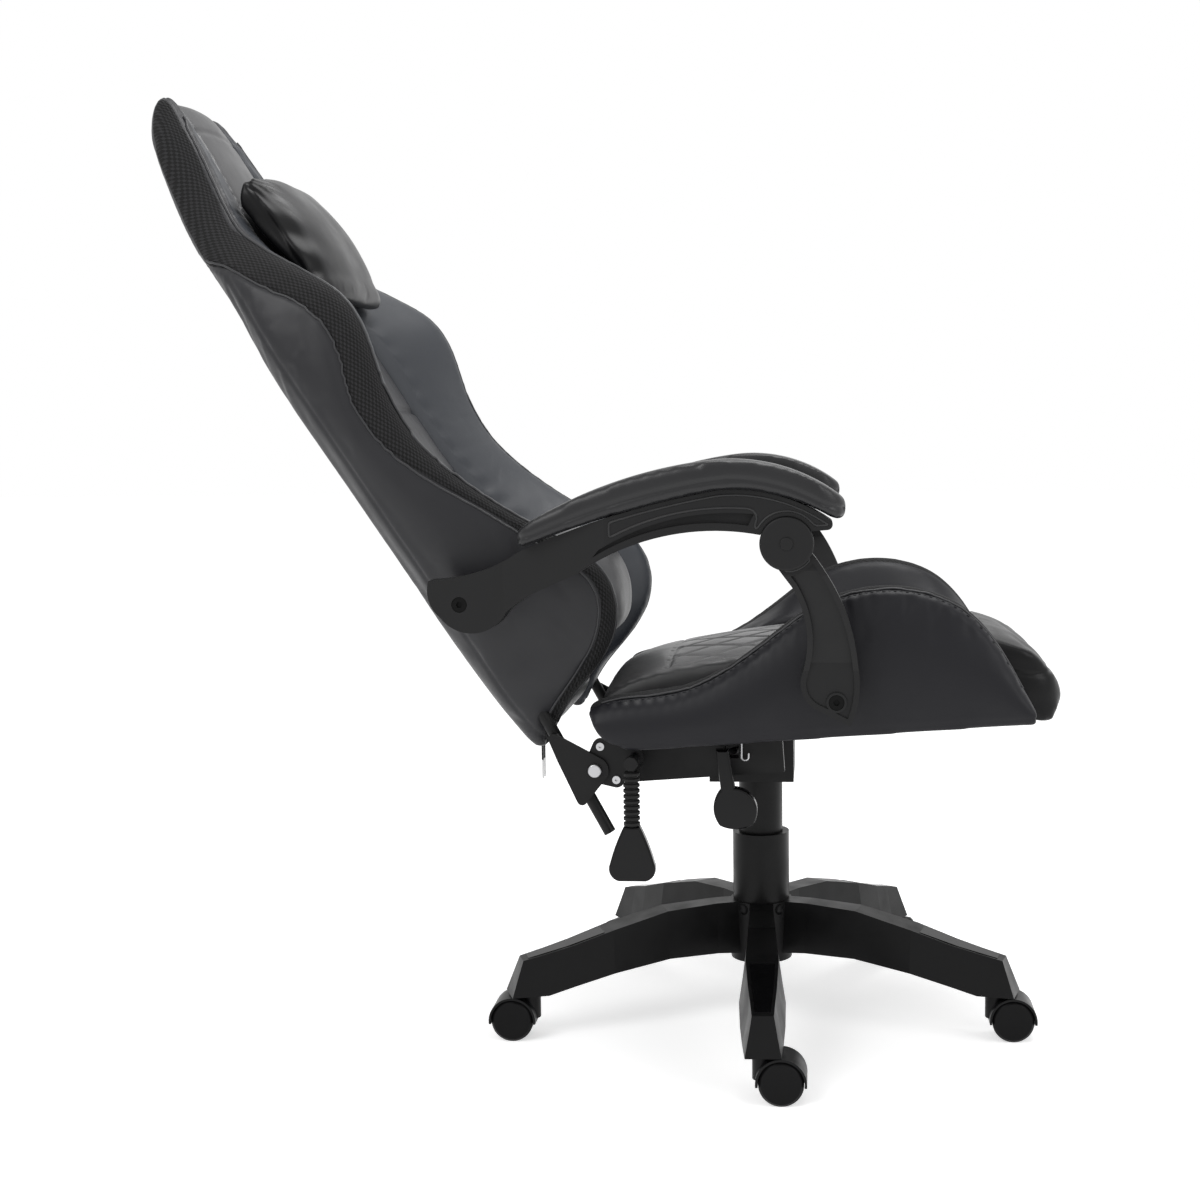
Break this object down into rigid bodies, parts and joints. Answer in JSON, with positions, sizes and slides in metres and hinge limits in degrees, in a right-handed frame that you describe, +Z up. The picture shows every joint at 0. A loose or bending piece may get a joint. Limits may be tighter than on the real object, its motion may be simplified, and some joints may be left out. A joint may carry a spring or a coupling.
{
  "type": "gaming_chair",
  "caption": "Black racing-style gaming chair with reclining bucket back, pillows, linked armrests, gas lift and a five-star caster base.",
  "frame": {"origin": "on the floor, on the axis of the gas lift", "axes": "+X is the front of the chair, +Y the left of a person sitting, +Z up"},
  "size_m": [1.0522, 0.664, 1.1141],
  "materials": {
    "nylon_black": "satin moulded nylon",
    "gloss_black": "glossy moulded plastic",
    "wheel_black": "smooth hard nylon",
    "bright_steel": "zinc plated",
    "painted_steel": "black powder coat",
    "plywood": "raw plywood",
    "padded_leatherette": "black leatherette and mesh over foam",
    "pillow_satin": "black leatherette over stuffing",
    "soft_arm_pad": "soft polyurethane skin over foam",
    "arm_plastic": "fine textured plastic",
    "sleeve_rubber": "ribbed rubber",
    "zip_tape": "woven tape"
  },
  "bodies": {
    "base": {"star_base": "nylon_black", "leg_inlays": "gloss_black", "gas_cylinder": "painted_steel", "dust_cover_lower": "nylon_black"},
    "lift": {"gas_piston": "bright_steel", "dust_cover_upper": "nylon_black"},
    "release": {"release_button": "bright_steel"},
    "seat": {"lift_mechanism": "painted_steel", "mechanism_bolts": "bright_steel", "seat_frame": "painted_steel", "seat_board": "plywood", "seat_centre_pad": "padded_leatherette", "seat_bolster_right": "padded_leatherette", "seat_bolster_left": "padded_leatherette", "recliner_seat_plates": "painted_steel", "recliner_screws": "bright_steel", "strut_bolts": "bright_steel", "spring_hook": "bright_steel"},
    "lift_lever": {"lift_lever_rod": "painted_steel", "lift_lever_paddle": "gloss_black"},
    "recline_lever": {"recline_lever_arm": "painted_steel", "recline_lever_sleeve": "sleeve_rubber", "recline_lever_paddle": "gloss_black"},
    "back": {"back_frame": "painted_steel", "recliner_back_plates": "painted_steel", "recliner_pivot_bolts": "bright_steel", "back_rear_panel": "padded_leatherette", "back_centre_pad": "padded_leatherette", "head_panel": "padded_leatherette", "back_wing_right": "padded_leatherette", "back_wing_left": "padded_leatherette", "lumbar_pillow": "pillow_satin", "head_pillow": "pillow_satin", "zip_pulls": "zip_tape", "arm_bolts": "bright_steel"},
    "arm_right": {"arm_beam_right": "arm_plastic", "arm_pad_right": "soft_arm_pad", "arm_pivot_cap_right": "arm_plastic"},
    "strut_right": {"arm_strut_right": "arm_plastic"},
    "arm_left": {"arm_beam_left": "arm_plastic", "arm_pad_left": "soft_arm_pad", "arm_pivot_cap_left": "arm_plastic"},
    "strut_left": {"arm_strut_left": "arm_plastic"},
    "caster_1": {"caster_hood_1": "nylon_black", "caster_stem_1": "bright_steel"},
    "wheels_1": {"caster_wheels_1": "wheel_black"},
    "caster_2": {"caster_hood_2": "nylon_black", "caster_stem_2": "bright_steel"},
    "wheels_2": {"caster_wheels_2": "wheel_black"},
    "caster_3": {"caster_hood_3": "nylon_black", "caster_stem_3": "bright_steel"},
    "wheels_3": {"caster_wheels_3": "wheel_black"},
    "caster_4": {"caster_hood_4": "nylon_black", "caster_stem_4": "bright_steel"},
    "wheels_4": {"caster_wheels_4": "wheel_black"},
    "caster_5": {"caster_hood_5": "nylon_black", "caster_stem_5": "bright_steel"},
    "wheels_5": {"caster_wheels_5": "wheel_black"}
  },
  "joints": [
    {"name": "seat_lift", "type": "slide", "parent": "base", "child": "lift", "axis": [0, 0, 1], "range_m": [-0.015, 0.065]},
    {"name": "seat_swivel", "type": "hinge", "parent": "lift", "child": "seat", "pos_m": [0, 0, 0.32], "axis": [0, 0, 1], "continuous": true},
    {"name": "recline", "type": "hinge", "parent": "seat", "child": "back", "pos_m": [-0.18, 0, 0.347], "axis": [0, -1, 0], "range_deg": [-25, 13]},
    {"name": "lift_lever_swing", "type": "hinge", "parent": "seat", "child": "lift_lever", "pos_m": [-0.00606, -0.032, 0.34551], "axis": [-1, 0, 0], "range_deg": [0, 3.5], "stiffness_Nm_per_rad": 4},
    {"name": "release_press", "type": "slide", "parent": "lift", "child": "release", "axis": [0, 0, -1], "range_m": [-0.0001, 0.00205]},
    {"name": "recline_lever_swing", "type": "hinge", "parent": "seat", "child": "recline_lever", "pos_m": [-0.135, -0.24, 0.362], "axis": [0, -1, 0], "range_deg": [0, 30], "stiffness_Nm_per_rad": 0.6},
    {"name": "arm_right_turn", "type": "hinge", "parent": "back", "child": "arm_right", "pos_m": [-0.313, -0.279, 0.544], "axis": [0, -1, 0], "range_deg": [-10.5, 20]},
    {"name": "strut_right_turn", "type": "hinge", "parent": "seat", "child": "strut_right", "pos_m": [0.092, -0.272, 0.437], "axis": [0, -1, 0], "range_deg": [-32, 17]},
    {"name": "arm_left_turn", "type": "hinge", "parent": "back", "child": "arm_left", "pos_m": [-0.313, 0.279, 0.544], "axis": [0, -1, 0], "range_deg": [-10.5, 20]},
    {"name": "strut_left_turn", "type": "hinge", "parent": "seat", "child": "strut_left", "pos_m": [0.092, 0.272, 0.437], "axis": [0, -1, 0], "range_deg": [-32, 17]},
    {"name": "caster_1_swivel", "type": "hinge", "parent": "base", "child": "caster_1", "pos_m": [0.01129, -0.29378, 0.065], "axis": [0, 0, 1], "continuous": true},
    {"name": "wheels_1_roll", "type": "hinge", "parent": "caster_1", "child": "wheels_1", "pos_m": [0.03129, -0.29378, 0.025], "axis": [0, 1, 0], "continuous": true},
    {"name": "caster_2_swivel", "type": "hinge", "parent": "base", "child": "caster_2", "pos_m": [0.28289, -0.08005, 0.065], "axis": [0, 0, 1], "continuous": true},
    {"name": "wheels_2_roll", "type": "hinge", "parent": "caster_2", "child": "wheels_2", "pos_m": [0.30289, -0.08005, 0.025], "axis": [0, 1, 0], "continuous": true},
    {"name": "caster_3_swivel", "type": "hinge", "parent": "base", "child": "caster_3", "pos_m": [0.16355, 0.24431, 0.065], "axis": [0, 0, 1], "continuous": true},
    {"name": "wheels_3_roll", "type": "hinge", "parent": "caster_3", "child": "wheels_3", "pos_m": [0.17355, 0.26163, 0.025], "axis": [-0.866, 0.5, 0], "continuous": true},
    {"name": "caster_4_swivel", "type": "hinge", "parent": "base", "child": "caster_4", "pos_m": [-0.18181, 0.23104, 0.065], "axis": [0, 0, 1], "continuous": true},
    {"name": "wheels_4_roll", "type": "hinge", "parent": "caster_4", "child": "wheels_4", "pos_m": [-0.19913, 0.24104, 0.025], "axis": [-0.5, -0.866, 0], "continuous": true},
    {"name": "caster_5_swivel", "type": "hinge", "parent": "base", "child": "caster_5", "pos_m": [-0.27592, -0.10152, 0.065], "axis": [0, 0, 1], "continuous": true},
    {"name": "wheels_5_roll", "type": "hinge", "parent": "caster_5", "child": "wheels_5", "pos_m": [-0.29592, -0.10152, 0.025], "axis": [0, -1, 0], "continuous": true}
  ],
  "couplings": [
    {"joint": "release_press", "follows": "lift_lever_swing", "m_per_rad": 0.032},
    {"joint": "arm_right_turn", "follows": "recline", "ratio": -0.78},
    {"joint": "strut_right_turn", "follows": "recline", "ratio": 1.26},
    {"joint": "arm_left_turn", "follows": "recline", "ratio": -0.78},
    {"joint": "strut_left_turn", "follows": "recline", "ratio": 1.26}
  ]
}
